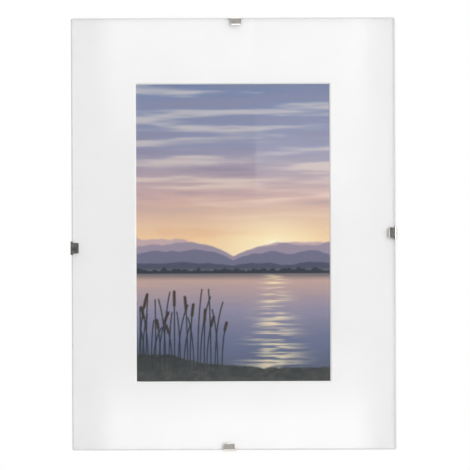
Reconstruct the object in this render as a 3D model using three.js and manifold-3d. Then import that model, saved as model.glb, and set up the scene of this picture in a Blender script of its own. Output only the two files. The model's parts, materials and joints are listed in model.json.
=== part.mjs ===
// Frameless clip frame for a 30 x 40 cm picture.
//
// A pane of glass, a mat with a bevelled window, a photo print taped to the
// back of the mat and a hardboard back are held together by four sprung steel
// clips. Each clip hooks over the glass, runs round the edge and snaps into a
// groove in the board. Two riveted ring hangers let the frame hang upright or
// on its side.
//
// Millimetres, +Z up, front towards -Y. The origin is where a nail bears in
// the upright hanger's ring.
import * as THREE from "three";
import { mergeVertices } from "three/addons/utils/BufferGeometryUtils.js";
import Module from "manifold-3d";

const wasm = await Module();
wasm.setup();

// Driving dimensions.
const WIDTH = 300;
const HEIGHT = 400;
const GLASS = 2;
const MAT = 1.2;
const PRINT = 0.22;
const TAPE = 0.08;
const BOARD = 3;
const AIR = 0.05; // between two layers, or a plate and the board

const WINDOW = { width: 179, height: 275, x: -0.6, z: 1.1 }; // at the mat's back face
const PHOTO = { width: 200, height: 300 };
const TAPE_STRIP = { width: 30, height: 24, x: 60 };

const GROOVE = { inset: 19.4, width: 4.4, depth: 1.7 };

const CLIP = {
  steel: 0.5, // strip thickness
  width: 12.4, // round the edge
  lipWidth: 9.8,
  tailWidth: 9.4,
  lipGap: 0.1, // between the glass and the lip's contact line
  grip: 5.8, // from the glass's edge in to that line
};
// How far each clip sits from the middle of its edge, to the right or up.
const CLIPS = [
  { name: "clip_top", side: "top", along: 2.7 },
  { name: "clip_bottom", side: "bottom", along: -4.6 },
  { name: "clip_left", side: "left", along: -12.7 },
  { name: "clip_right", side: "right", along: 0.6 },
];

const HANGER = {
  inset: 50, // from the frame's edge in to the ring's bar
  plate: 0.8,
  width: 10,
  tail: 24, // from the bar to the plate's far end
  rivet: 19, // from the bar to the rivet
  wire: 1.6,
  play: 0.2, // between the bar and its knuckle
  ringWidth: 15,
  ringHeight: 14,
  apexRadius: 3.5,
  cornerRadius: 1.8,
};
const RIVET = { barrel: 2, hole: 2.1, bore: 1.3, head: 3.5, headThick: 0.5 };
const CLINCH = { radius: 3.2, thick: 0.4, recess: 4, recessDepth: 0.8 };

// Depths, from the glass's front face back to the wall.
const matFront = GLASS + AIR;
const matBack = matFront + MAT;
const printFront = matBack + AIR;
const printBack = printFront + PRINT;
const tapeFront = printBack + 0.02;
const boardFront = tapeFront + TAPE + 0.02;
const boardBack = boardFront + BOARD;

const barHeight =
  AIR + HANGER.plate + HANGER.wire / 2 + HANGER.play; // bar above the board
const nail = {
  y: boardBack + barHeight,
  z: HEIGHT - HANGER.inset + HANGER.ringHeight - HANGER.wire / 2,
};

const finish = (color, roughness, metalness = 0, extra = {}) =>
  new THREE.MeshStandardMaterial({ color, roughness, metalness, ...extra });
const materials = {
  glass: finish(0xe6f0ee, 0.05, 0, { transparent: true, opacity: 0.3 }),
  mat: finish(0xf6f5f3, 0.9),
  photo: finish(0xb09a78, 0.35),
  tape: finish(0xe9e2cf, 0.8),
  hardboard: finish(0x7a5436, 0.75),
  clip: finish(0xb9b8b4, 0.2, 1),
  hanger: finish(0xb4b2ac, 0.35, 1),
  rivet: finish(0xc9a35a, 0.3, 1),
};

// manifold-3d joins and cuts closed three.js geometries.
function solid(geometry) {
  const bare = geometry.clone();
  bare.deleteAttribute("normal");
  bare.deleteAttribute("uv");
  const merged = mergeVertices(bare, 1e-4);
  return new wasm.Manifold(
    new wasm.Mesh({
      numProp: 3,
      vertProperties: new Float32Array(merged.attributes.position.array),
      triVerts: new Uint32Array(merged.index.array),
    }),
  );
}

function geometryOf(manifold) {
  const mesh = manifold.getMesh();
  const position = new Float32Array(mesh.vertProperties);
  const geometry = new THREE.BufferGeometry();
  geometry.setAttribute("position", new THREE.BufferAttribute(position, 3));
  geometry.setIndex(new THREE.BufferAttribute(new Uint32Array(mesh.triVerts), 1));
  const flat = geometry.toNonIndexed();
  flat.computeVertexNormals();
  return flat;
}

// A slab in the frame's plane, by its centre, size and front and back depths.
function slab(x, z, width, height, front, back) {
  return new THREE.BoxGeometry(width, back - front, height).translate(
    x,
    (front + back) / 2,
    z,
  );
}

// A round bar along Y.
function boss(x, z, radius, front, back, sides = 24) {
  return new THREE.CylinderGeometry(radius, radius, back - front, sides)
    .translate(0, (front + back) / 2, 0)
    .translate(x, 0, z);
}

function part(name, geometry, material) {
  const mesh = new THREE.Mesh(geometry, material);
  mesh.name = name;
  return mesh;
}

// The points of a polyline of [x, y, fillet radius] corners, each rounded off.
function filleted(corners, steps = 6) {
  const points = [];
  corners.forEach(([x, y, radius], i) => {
    const here = new THREE.Vector2(x, y);
    if (!radius) {
      points.push(here);
      return;
    }
    const toBack = new THREE.Vector2(...corners[i - 1]).sub(here).normalize();
    const toNext = new THREE.Vector2(...corners[i + 1]).sub(here).normalize();
    const half = Math.acos(toBack.dot(toNext)) / 2;
    const bisector = toBack.clone().add(toNext).normalize();
    const centre = here.clone().addScaledVector(bisector, radius / Math.sin(half));
    const start = here.clone().addScaledVector(toBack, radius / Math.tan(half));
    const end = here.clone().addScaledVector(toNext, radius / Math.tan(half));
    const from = start.sub(centre).angle();
    let sweep = end.sub(centre).angle() - from;
    if (sweep > Math.PI) sweep -= 2 * Math.PI;
    if (sweep < -Math.PI) sweep += 2 * Math.PI;
    for (let step = 0; step <= steps; step += 1) {
      const angle = from + (sweep * step) / steps;
      points.push(
        new THREE.Vector2(Math.cos(angle), Math.sin(angle))
          .multiplyScalar(radius)
          .add(centre),
      );
    }
  });
  return points;
}

// The outline of a sheet of even thickness bent along a line of points.
function bentSheet(points, thickness) {
  const normals = points.map((point, i) => {
    const before = points[Math.max(i - 1, 0)];
    const after = points[Math.min(i + 1, points.length - 1)];
    const along = after.clone().sub(before).normalize();
    return new THREE.Vector2(-along.y, along.x).multiplyScalar(thickness / 2);
  });
  const left = points.map((point, i) => point.clone().add(normals[i]));
  const right = points.map((point, i) => point.clone().sub(normals[i]));
  return new THREE.Shape([...left, ...right.reverse()]);
}

// Turns an outline drawn as (depth, outward) into a strip that is wide along X.
const PROFILE_TO_STRIP = new THREE.Matrix4().makeBasis(
  new THREE.Vector3(0, 1, 0),
  new THREE.Vector3(0, 0, 1),
  new THREE.Vector3(1, 0, 0),
);
function stripOf(shape, width) {
  return new THREE.ExtrudeGeometry(shape, { depth: width, bevelEnabled: false })
    .translate(0, 0, -width / 2)
    .applyMatrix4(PROFILE_TO_STRIP);
}

// Turns an outline drawn as (along, outward) into a plate between two depths.
function plateOf(shape, front, back) {
  return new THREE.ExtrudeGeometry(shape, {
    depth: back - front,
    bevelEnabled: false,
    curveSegments: 8,
  })
    .rotateX(Math.PI / 2)
    .translate(0, back, 0);
}

function glassPane() {
  return slab(0, HEIGHT / 2, WIDTH, HEIGHT, 0, GLASS);
}

// The mat's window is cut at 45 degrees, so it is wider at the front.
function matBoard() {
  const card = slab(0, HEIGHT / 2, WIDTH, HEIGHT, matFront, matBack);
  const past = 1; // the cutter reaches this far past both faces
  const cutter = new THREE.BoxGeometry(1, 1, 1);
  const corners = cutter.getAttribute("position");
  for (let i = 0; i < corners.count; i += 1) {
    const isFront = corners.getY(i) < 0;
    const grow = isFront ? MAT + past : -past;
    corners.setXYZ(
      i,
      WINDOW.x + Math.sign(corners.getX(i)) * (WINDOW.width / 2 + grow),
      isFront ? matFront - past : matBack + past,
      HEIGHT / 2 + WINDOW.z + Math.sign(corners.getZ(i)) * (WINDOW.height / 2 + grow),
    );
  }
  return geometryOf(solid(card).subtract(solid(cutter)));
}

function photoPrint() {
  return slab(
    WINDOW.x,
    HEIGHT / 2 + WINDOW.z,
    PHOTO.width,
    PHOTO.height,
    printFront,
    printBack,
  );
}

// Half of each strip holds the print's top edge and half holds the mat.
function hingeTape(side) {
  return slab(
    WINDOW.x + side * TAPE_STRIP.x,
    HEIGHT / 2 + WINDOW.z + PHOTO.height / 2,
    TAPE_STRIP.width,
    TAPE_STRIP.height,
    tapeFront,
    tapeFront + TAPE,
  );
}

// Saw-cut grooves run right across the board's back, one along each edge.
function backingBoard(rivetSpots) {
  let board = solid(slab(0, HEIGHT / 2, WIDTH, HEIGHT, boardFront, boardBack));
  const past = 5;
  const floor = boardBack - GROOVE.depth;
  const across = WIDTH / 2 - GROOVE.inset;
  const cutters = [
    slab(-across, HEIGHT / 2, GROOVE.width, HEIGHT + past, floor, boardBack + past),
    slab(across, HEIGHT / 2, GROOVE.width, HEIGHT + past, floor, boardBack + past),
    slab(0, GROOVE.inset, WIDTH + past, GROOVE.width, floor, boardBack + past),
    slab(0, HEIGHT - GROOVE.inset, WIDTH + past, GROOVE.width, floor, boardBack + past),
  ];
  for (const { x, z } of rivetSpots) {
    cutters.push(boss(x, z, RIVET.hole, boardFront - past, boardBack + past));
    cutters.push(
      boss(x, z, CLINCH.recess, boardFront - past, boardFront + CLINCH.recessDepth),
    );
  }
  for (const cutter of cutters) board = board.subtract(solid(cutter));
  return geometryOf(board);
}

// A clip is drawn at the top edge: X along the edge, Y back, Z outwards.
function clipStrip() {
  const half = CLIP.steel / 2;
  const lip = -(CLIP.lipGap + half);
  const line = filleted([
    [lip - 0.55, -CLIP.grip - 0.8, 0],
    [lip, -CLIP.grip, 0.6],
    [lip - 0.45, 1.15, 0.9],
    [boardBack + 2.75, 1.15, 1.5],
    [boardBack + 0.5, 1.8 - GROOVE.inset, 0.6],
    [boardBack - 1.05, -GROOVE.inset, 0.5],
    [boardBack + 0.5, -1.8 - GROOVE.inset, 0.6],
    [boardBack + 2.3, -5.6 - GROOVE.inset, 0],
  ]);
  return stripOf(bentSheet(line, CLIP.steel), CLIP.width);
}

// The blank seen from the front: a round-cornered lip that widens at the bend.
function lipOutline() {
  const tip = -CLIP.grip - 1.2;
  const a = CLIP.lipWidth / 2;
  const b = CLIP.width / 2 + 1;
  return new THREE.Shape(
    filleted([
      [b, 3, 0],
      [b, 0.6, 0],
      [a + 0.2, -0.9, 0.8],
      [a, tip, 1.5],
      [-a, tip, 1.5],
      [-a - 0.2, -0.9, 0.8],
      [-b, 0.6, 0],
      [-b, 3, 0],
    ]),
  );
}

// The blank seen from the back: it narrows to a rounded finger tab.
function legOutline() {
  const end = -GROOVE.inset - 5.7;
  const a = CLIP.tailWidth / 2;
  const b = CLIP.width / 2 + 1;
  return new THREE.Shape(
    filleted([
      [b, 3, 0],
      [b, -2, 0],
      [a, -8, 3],
      [a, end, 2.6],
      [-a, end, 2.6],
      [-a, -8, 3],
      [-b, -2, 0],
      [-b, 3, 0],
    ]),
  );
}

function clip() {
  const middle = boardBack / 2;
  const front = plateOf(lipOutline(), -6, middle);
  const back = plateOf(legOutline(), middle, boardBack + 8);
  const blank = solid(front).add(solid(back));
  return geometryOf(solid(clipStrip()).intersect(blank));
}

// A hanger is drawn pointing up: the ring's bar along X through the origin,
// Y back from the board and Z towards the ring's apex.
function hangerPlate() {
  const knuckle = HANGER.wire / 2 + HANGER.play + HANGER.plate / 2;
  const line = [new THREE.Vector2(-knuckle, -HANGER.tail)];
  const steps = 20;
  const curl = THREE.MathUtils.degToRad(290);
  for (let step = 0; step <= steps; step += 1) {
    const angle = Math.PI - (curl * step) / steps;
    line.push(
      new THREE.Vector2(Math.cos(angle), Math.sin(angle)).multiplyScalar(knuckle),
    );
  }
  const strip = stripOf(bentSheet(line, HANGER.plate), HANGER.width);
  const a = HANGER.width / 2;
  const outline = new THREE.Shape(
    filleted([
      [a, 5, 0],
      [a, -HANGER.tail, 3.5],
      [-a, -HANGER.tail, 3.5],
      [-a, 5, 0],
    ]),
  );
  const blank = solid(plateOf(outline, -5, 5));
  const hole = solid(boss(0, -HANGER.rivet, RIVET.hole, -5, 5));
  return geometryOf(solid(strip).intersect(blank).subtract(hole));
}

// A closed ring of round wire: a straight bar and two sides that run on
// tangents into a round apex.
function hangerRing() {
  const { ringWidth, ringHeight, apexRadius, cornerRadius } = HANGER;
  const half = ringWidth / 2;
  const apexCentre = new THREE.Vector2(half, ringHeight - apexRadius);
  const lean = apexCentre.angle() + Math.asin(apexRadius / apexCentre.length());
  const line = filleted([
    [0, 0, 0],
    [half, 0, cornerRadius],
    [0, half * Math.tan(lean), apexRadius],
    [-half, 0, cornerRadius],
    [0, 0, 0],
  ]).slice(0, -1);
  const path = new THREE.CatmullRomCurve3(
    line.map(({ x, y }) => new THREE.Vector3(x, 0, y)),
    true,
    "centripetal",
  );
  return new THREE.TubeGeometry(path, 64, HANGER.wire / 2, 10, true);
}

// A hollow rivet, drawn round Y with the hanger plate's back face at 0.
function rivet() {
  const under = -(HANGER.plate + AIR + BOARD - CLINCH.recessDepth);
  const clinchTop = under - AIR;
  const bottom = clinchTop - CLINCH.thick;
  const profile = [
    [RIVET.bore, bottom],
    [CLINCH.radius, bottom],
    [CLINCH.radius, clinchTop],
    [RIVET.barrel, clinchTop],
    [RIVET.barrel, AIR],
    [RIVET.head, AIR],
    [RIVET.head - 0.15, AIR + RIVET.headThick * 0.6],
    [RIVET.head - 0.7, AIR + RIVET.headThick],
    [RIVET.bore + 0.5, AIR + RIVET.headThick],
    [RIVET.bore, AIR + RIVET.headThick * 0.5],
    [RIVET.bore, bottom],
  ];
  return new THREE.LatheGeometry(
    profile.map(([x, y]) => new THREE.Vector2(x, y)),
    24,
  );
}

// Turns a piece drawn at the top edge round to another edge of the frame.
const SIDES = {
  top: { turn: 0, x: 0, z: HEIGHT },
  right: { turn: Math.PI / 2, x: WIDTH / 2, z: HEIGHT / 2 },
  bottom: { turn: Math.PI, x: 0, z: 0 },
  left: { turn: -Math.PI / 2, x: -WIDTH / 2, z: HEIGHT / 2 },
};

const frame = new THREE.Group();
frame.position.set(0, -nail.y, -nail.z);

frame.add(part("glass_pane", glassPane(), materials.glass));
frame.add(part("mat_board", matBoard(), materials.mat));
frame.add(part("photo_print", photoPrint(), materials.photo));
frame.add(part("hinge_tape_left", hingeTape(-1), materials.tape));
frame.add(part("hinge_tape_right", hingeTape(1), materials.tape));

const rivetInset = HANGER.inset + HANGER.rivet;
const rivetSpots = [
  { x: 0, z: HEIGHT - rivetInset },
  { x: WIDTH / 2 - rivetInset, z: HEIGHT / 2 },
];
frame.add(part("backing_board", backingBoard(rivetSpots), materials.hardboard));

for (const { name, side, along } of CLIPS) {
  const { turn, x, z } = SIDES[side];
  const piece = part(name, clip(), materials.clip);
  const alongX = side === "top" || side === "bottom";
  piece.position.set(x + (alongX ? along : 0), 0, z + (alongX ? 0 : along));
  piece.rotation.y = turn;
  frame.add(piece);
}

for (const [name, side] of [
  ["portrait", "top"],
  ["landscape", "right"],
]) {
  const { turn, x, z } = SIDES[side];
  const edge = new THREE.Group();
  edge.position.set(x, boardBack + barHeight, z);
  edge.rotation.y = turn;

  const hanger = new THREE.Group();
  hanger.position.z = -HANGER.inset;
  hanger.add(part(`${name}_hanger_plate`, hangerPlate(), materials.hanger));
  hanger.add(part(`${name}_hanger_ring`, hangerRing(), materials.hanger));
  const fastener = part(`${name}_hanger_rivet`, rivet(), materials.rivet);
  fastener.position.set(0, AIR + HANGER.plate - barHeight, -HANGER.rivet);
  hanger.add(fastener);

  edge.add(hanger);
  frame.add(edge);
}

export default frame;
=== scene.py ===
"""The looks of a frameless clip picture frame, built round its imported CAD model.

A pane of glass with ground edges, a bevelled mat, a lustre print, four
sprung clips, a grooved hardboard back and two riveted ring hangers. Sizes are
in metres, +Z is up and the picture faces -Y.
"""

import json
import math

import bmesh
import bpy
import numpy as np
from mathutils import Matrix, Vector


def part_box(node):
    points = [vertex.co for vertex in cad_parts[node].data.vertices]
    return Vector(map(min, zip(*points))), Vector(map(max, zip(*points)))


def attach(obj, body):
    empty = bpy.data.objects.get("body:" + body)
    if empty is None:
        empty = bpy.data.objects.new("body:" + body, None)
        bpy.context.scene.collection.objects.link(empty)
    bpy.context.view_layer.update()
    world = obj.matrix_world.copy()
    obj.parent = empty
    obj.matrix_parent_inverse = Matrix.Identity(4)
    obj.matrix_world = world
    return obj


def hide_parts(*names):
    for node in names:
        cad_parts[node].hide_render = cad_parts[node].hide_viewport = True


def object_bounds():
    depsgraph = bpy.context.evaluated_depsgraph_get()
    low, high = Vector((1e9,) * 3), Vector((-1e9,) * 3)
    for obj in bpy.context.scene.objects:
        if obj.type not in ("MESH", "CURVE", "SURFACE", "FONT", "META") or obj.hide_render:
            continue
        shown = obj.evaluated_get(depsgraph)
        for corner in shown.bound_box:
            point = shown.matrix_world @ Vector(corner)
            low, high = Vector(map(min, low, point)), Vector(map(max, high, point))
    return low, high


bl_info = {
    "name": "Clip picture frame",
    "version": (1, 0, 0),
    "blender": (4, 5, 0),
    "location": "View3D > Sidebar > Clip frame",
    "description": "Builds a frameless clip frame with its mat, print, clips and hangers",
    "category": "Object",
}

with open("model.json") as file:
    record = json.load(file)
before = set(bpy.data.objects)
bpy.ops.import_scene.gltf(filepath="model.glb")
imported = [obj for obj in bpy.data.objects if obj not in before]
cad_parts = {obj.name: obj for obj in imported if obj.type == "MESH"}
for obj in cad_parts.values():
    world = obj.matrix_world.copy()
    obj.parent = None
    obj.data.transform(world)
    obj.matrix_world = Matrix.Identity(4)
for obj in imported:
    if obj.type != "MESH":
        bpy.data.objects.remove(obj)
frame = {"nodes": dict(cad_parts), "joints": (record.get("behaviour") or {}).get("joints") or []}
CAD_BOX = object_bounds()
MM = 0.001

# Radius of the holes for the rivets, and the softness in millimetres of a painted edge.
RIVET_HOLE = 2.1 * MM
SOFT_EDGE = 0.8

GLASS_LOW, GLASS_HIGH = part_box("glass_pane")
MIDDLE = (GLASS_LOW + GLASS_HIGH) / 2
FRONT = GLASS_LOW.y
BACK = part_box("backing_board")[1].y
PRINT_LOW, PRINT_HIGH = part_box("photo_print")
PRINT_MIDDLE = (PRINT_LOW + PRINT_HIGH) / 2

# Which way each edge faces, as a turn about Y from the top edge, and the
# middle of that edge at the glass's front face.
EDGES = {
    "top": (0, Vector((MIDDLE.x, FRONT, GLASS_HIGH.z))),
    "right": (math.pi / 2, Vector((GLASS_HIGH.x, FRONT, MIDDLE.z))),
    "bottom": (math.pi, Vector((MIDDLE.x, FRONT, GLASS_LOW.z))),
    "left": (-math.pi / 2, Vector((GLASS_LOW.x, FRONT, MIDDLE.z))),
}


def linear(hex_colour):
    """A hex sRGB colour as linear red, green and blue."""
    channels = (int(hex_colour[i : i + 2], 16) / 255 for i in (1, 3, 5))
    return tuple(c / 12.92 if c <= 0.04045 else ((c + 0.055) / 1.055) ** 2.4 for c in channels)


def length(name, description, millimetres):
    """A size that a user can change."""
    return bpy.props.FloatProperty(
        name=name, description=description, default=millimetres * MM, min=0, unit="LENGTH"
    )


def tint(name, description, hex_colour):
    """A colour that a user can change."""
    return bpy.props.FloatVectorProperty(
        name=name,
        description=description,
        default=linear(hex_colour),
        size=3,
        min=0,
        max=1,
        subtype="COLOR",
    )


class GlassSettings(bpy.types.PropertyGroup):
    arris: length("Ground edge", "Width of the ground chamfer round both faces", 1.1)
    corner: length("Dubbed corner", "How much is ground off each corner", 1.2)
    body: tint("Glass", "Tint of the glass seen through its faces", "#fbfdfc")
    edge: tint("Ground glass", "Tint of the ground edges", "#cdcfce")


class MatSettings(bpy.types.PropertyGroup):
    window_width: length("Window width", "Width of the opening at the back of the mat", 179)
    window_height: length("Window height", "Height of the opening at the back of the mat", 275)
    liner: length("Liner", "Thickness of the papers that face and back the core", 0.18)
    face: tint("Face paper", "Colour of the mat's front", "#f3eff1")
    core: tint("Core", "Colour of the mat's core, seen in the bevel", "#f9f8f4")


class PrintSettings(bpy.types.PropertyGroup):
    cell: length("Detail", "Size of the finest painted detail", 0.64)
    paper: tint("Paper", "Colour of the unprinted paper", "#f1efea")
    tape: tint("Tape", "Colour of the linen hinging tape", "#e6dfcb")


class BoardSettings(bpy.types.PropertyGroup):
    groove_inset: length("Groove inset", "From the board's edge in to a groove's middle", 19.4)
    groove_width: length("Groove width", "Width of the clip grooves", 4.4)
    groove_depth: length("Groove depth", "Depth of the clip grooves", 1.7)
    pressed: tint("Pressed face", "Colour of the hardboard's face", "#74573f")
    sawn: tint("Sawn fibre", "Colour of the hardboard where it is sawn", "#93735a")


class ClipSettings(bpy.types.PropertyGroup):
    steel: length("Steel", "Thickness of the spring strip", 0.5)
    width: length("Width", "Width of a clip round the frame's edge", 12.4)
    lip_width: length("Lip width", "Width of the lip on the glass", 9.8)
    tail_width: length("Tail width", "Width of the leg and finger tab", 9.4)
    grip: length("Grip", "From the glass's edge in to where the lip bears", 5.8)
    plate: tint("Nickel plate", "Colour of the plated spring steel", "#dbd8d2")


class HangerSettings(bpy.types.PropertyGroup):
    plate: length("Plate", "Thickness of the hanger plate", 0.8)
    width: length("Width", "Width of the hanger plate", 10)
    tail: length("Tail", "From the ring's bar to the plate's far end", 24)
    rivet: length("Rivet", "From the ring's bar to the rivet", 19)
    wire: length("Wire", "Thickness of the ring's wire", 1.6)
    play: length("Play", "Gap between the bar and its knuckle", 0.2)
    zinc: tint("Zinc plate", "Colour of the plated hangers", "#c2c3c4")
    brass: tint("Brass", "Colour of the rivets", "#d2b47c")


class StageSettings(bpy.types.PropertyGroup):
    floor_drop: length("Floor", "From the frame's lowest point down to the floor", 1300)
    floor: tint("Floor", "Colour of the floor", "#f7f7f6")


def add_node(tree, kind, settings=(), links=()):
    """Adds a node with its settings, and links other nodes' outputs to its inputs."""
    node = tree.nodes.new(kind)
    inputs = {socket.identifier: socket for socket in node.inputs}
    for key, value in dict(settings).items():
        if key == "stops":
            ramp = node.color_ramp.elements
            while len(ramp) < len(value):
                ramp.new(1)
            for element, (position, colour) in zip(ramp, value):
                element.position = position
                element.color = (*colour, 1)
        elif key in inputs:
            inputs[key].default_value = value
        else:
            setattr(node, key, value)
    for key, source in dict(links).items():
        tree.links.new(source, inputs[key])
    return node


def new_material(name, settings):
    """A material with one Principled shader. Returns it, its tree and the shader."""
    material = bpy.data.materials.new(name)
    material.use_nodes = True
    tree = material.node_tree
    tree.nodes.clear()
    shader = add_node(tree, "ShaderNodeBsdfPrincipled", settings)
    add_node(tree, "ShaderNodeOutputMaterial", links={"Surface": shader.outputs["BSDF"]})
    return material, tree, shader


def own_places(tree, scale=(1, 1, 1)):
    """The piece's own coordinates, stretched by scale."""
    places = add_node(tree, "ShaderNodeTexCoord")
    return add_node(
        tree, "ShaderNodeMapping", {"Scale": scale}, {"Vector": places.outputs["Object"]}
    ).outputs["Vector"]


def rgba(colour):
    """A colour as a socket takes it."""
    return (*colour, 1)


def let_lamps_through(tree, shader, share):
    """Let this share of a lamp's light shine straight through the surface, so that what lies
    behind the glass isn't in its shadow."""
    ray = add_node(tree, "ShaderNodeLightPath")
    clear = add_node(tree, "ShaderNodeBsdfTransparent", {"Color": (share, share, share, 1)})
    mixed = add_node(
        tree,
        "ShaderNodeMixShader",
        links={
            "Fac": ray.outputs["Is Shadow Ray"],
            "Shader": shader.outputs["BSDF"],
            "Shader_001": clear.outputs["BSDF"],
        },
    )
    output = next(node for node in tree.nodes if node.type == "OUTPUT_MATERIAL")
    tree.links.new(mixed.outputs["Shader"], output.inputs["Surface"])


def float_glass(settings):
    """Clear float glass: hard mirror-like reflections and next to no tint. Lamps shine straight
    through, so the mat behind it is lit as evenly as through real 2 mm glass."""
    material, tree, shader = new_material(
        "Clear float glass",
        {
            "Base Color": rgba(settings.body),
            "Roughness": 0.0,
            "IOR": 1.52,
            "Transmission Weight": 1.0,
        },
    )
    let_lamps_through(tree, shader, 1.0)
    return material


def ground_glass(settings):
    """Glass ground with a fine wheel: a matt, slightly green-grey edge with faint wheel marks
    about 0.3 mm apart."""
    material, tree, shader = new_material(
        "Ground glass edge",
        {
            "Base Color": rgba(settings.edge),
            "Roughness": 0.42,
            "IOR": 1.52,
            "Transmission Weight": 0.12,
        },
    )
    grit = add_node(
        tree,
        "ShaderNodeTexNoise",
        {"Scale": 1 / (0.3 * MM), "Detail": 3.0},
        {"Vector": own_places(tree, (0.3, 1, 0.3))},
    )
    bump = add_node(
        tree,
        "ShaderNodeBump",
        {"Strength": 0.25, "Distance": 0.05 * MM},
        {"Height": grit.outputs["Fac"]},
    )
    tree.links.new(bump.outputs["Normal"], shader.inputs["Normal"])
    let_lamps_through(tree, shader, 0.85)
    return material


def mat_card(settings, low, high):
    """Mat board: soft uncoated paper over a white pulp core. The face has a faint felt finish,
    drawn at 0.7 mm because real fibres are too fine to show. Its layers are told apart by depth,
    so they show in the window's bevel and along the edges."""
    material, tree, shader = new_material(
        "Mat board paper and core", {"Roughness": 0.92, "IOR": 1.45, "Specular IOR Level": 0.25}
    )
    places = own_places(tree)
    felt = add_node(
        tree,
        "ShaderNodeTexNoise",
        {"Scale": 1 / (0.7 * MM), "Detail": 4.0, "Roughness": 0.6},
        {"Vector": places},
    )
    cloud = add_node(
        tree, "ShaderNodeTexNoise", {"Scale": 1 / (38 * MM), "Detail": 2.0}, {"Vector": places}
    )
    depth = add_node(tree, "ShaderNodeSeparateXYZ", links={"Vector": places})
    layer = add_node(
        tree,
        "ShaderNodeMapRange",
        {"From Min": low.y, "From Max": high.y},
        {"Value": depth.outputs["Y"]},
    )
    share = settings.liner / (high.y - low.y)
    plies = add_node(
        tree,
        "ShaderNodeValToRGB",
        {
            "stops": [
                (0, settings.face),
                (share, settings.face),
                (share * 1.1, tuple(channel * 0.86 for channel in settings.core)),
                (share * 1.5, settings.core),
                (1 - share * 1.2, settings.core),
                (1 - share, tuple(channel * 0.9 for channel in settings.face)),
            ]
        },
        {"Fac": layer.outputs["Result"]},
    )
    shade = add_node(
        tree,
        "ShaderNodeMapRange",
        {"From Min": 0.3, "From Max": 0.7, "To Min": 0.985, "To Max": 1.0},
        {"Value": cloud.outputs["Fac"]},
    )
    paper = add_node(
        tree,
        "ShaderNodeVectorMath",
        {"operation": "SCALE"},
        {"Vector": plies.outputs["Color"], "Scale": shade.outputs["Result"]},
    )
    bump = add_node(
        tree,
        "ShaderNodeBump",
        {"Strength": 0.18, "Distance": 0.06 * MM},
        {"Height": felt.outputs["Fac"]},
    )
    tree.links.new(paper.outputs["Vector"], shader.inputs["Base Color"])
    tree.links.new(bump.outputs["Normal"], shader.inputs["Normal"])
    return material


def lustre_print():
    """Resin-coated print paper with a lustre finish: the inks are the piece's own colours, under
    a pebbled gloss of about 0.5 mm."""
    material, tree, shader = new_material(
        "Lustre print paper", {"Roughness": 0.34, "IOR": 1.5, "Specular IOR Level": 0.22}
    )
    ink = add_node(tree, "ShaderNodeAttribute", {"attribute_name": "ink"})
    places = own_places(tree)
    pebble = add_node(
        tree,
        "ShaderNodeTexVoronoi",
        {"Scale": 1 / (0.5 * MM), "feature": "SMOOTH_F1"},
        {"Vector": places},
    )
    grain = add_node(
        tree, "ShaderNodeTexNoise", {"Scale": 1 / (0.45 * MM), "Detail": 2.0}, {"Vector": places}
    )
    speck = add_node(
        tree,
        "ShaderNodeMapRange",
        {"From Min": 0.25, "From Max": 0.75, "To Min": 0.985, "To Max": 1.015},
        {"Value": grain.outputs["Fac"]},
    )
    inked = add_node(
        tree,
        "ShaderNodeVectorMath",
        {"operation": "SCALE"},
        {"Vector": ink.outputs["Color"], "Scale": speck.outputs["Result"]},
    )
    bump = add_node(
        tree,
        "ShaderNodeBump",
        {"Strength": 0.05, "Distance": 0.02 * MM},
        {"Height": pebble.outputs["Distance"]},
    )
    tree.links.new(inked.outputs["Vector"], shader.inputs["Base Color"])
    tree.links.new(bump.outputs["Normal"], shader.inputs["Normal"])
    return material


def crossed_threads(tree, pitch, distortion):
    """The height of threads or wires that cross, that pitch apart."""
    places = own_places(tree)
    lying, standing = (
        add_node(
            tree,
            "ShaderNodeTexWave",
            {"bands_direction": way, "Scale": 1 / (20 * pitch), "Distortion": distortion},
            {"Vector": places},
        )
        for way in ("X", "Z")
    )
    return add_node(
        tree,
        "ShaderNodeMath",
        {"operation": "MULTIPLY"},
        {"Value": lying.outputs["Fac"], "Value_001": standing.outputs["Fac"]},
    ).outputs["Value"]


def linen_tape(settings):
    """Gummed linen tape: a plain weave with threads about 0.5 mm apart, with painted shade
    darkening the low spots between the threads.
    """
    material, tree, shader = new_material("Gummed linen tape", {"Roughness": 0.85})
    height = crossed_threads(tree, 0.5 * MM, 0.4)
    # Painted shade: the tape's colour darkens where the weave lies low, between the threads.
    weave = add_node(
        tree,
        "ShaderNodeValToRGB",
        {"stops": [(0, tuple(c * 0.72 for c in settings.tape)), (0.6, settings.tape)]},
        {"Fac": height},
    )
    bump = add_node(
        tree, "ShaderNodeBump", {"Strength": 0.5, "Distance": 0.05 * MM}, {"Height": height}
    )
    tree.links.new(weave.outputs["Color"], shader.inputs["Base Color"])
    tree.links.new(bump.outputs["Normal"], shader.inputs["Normal"])
    return material


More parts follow.
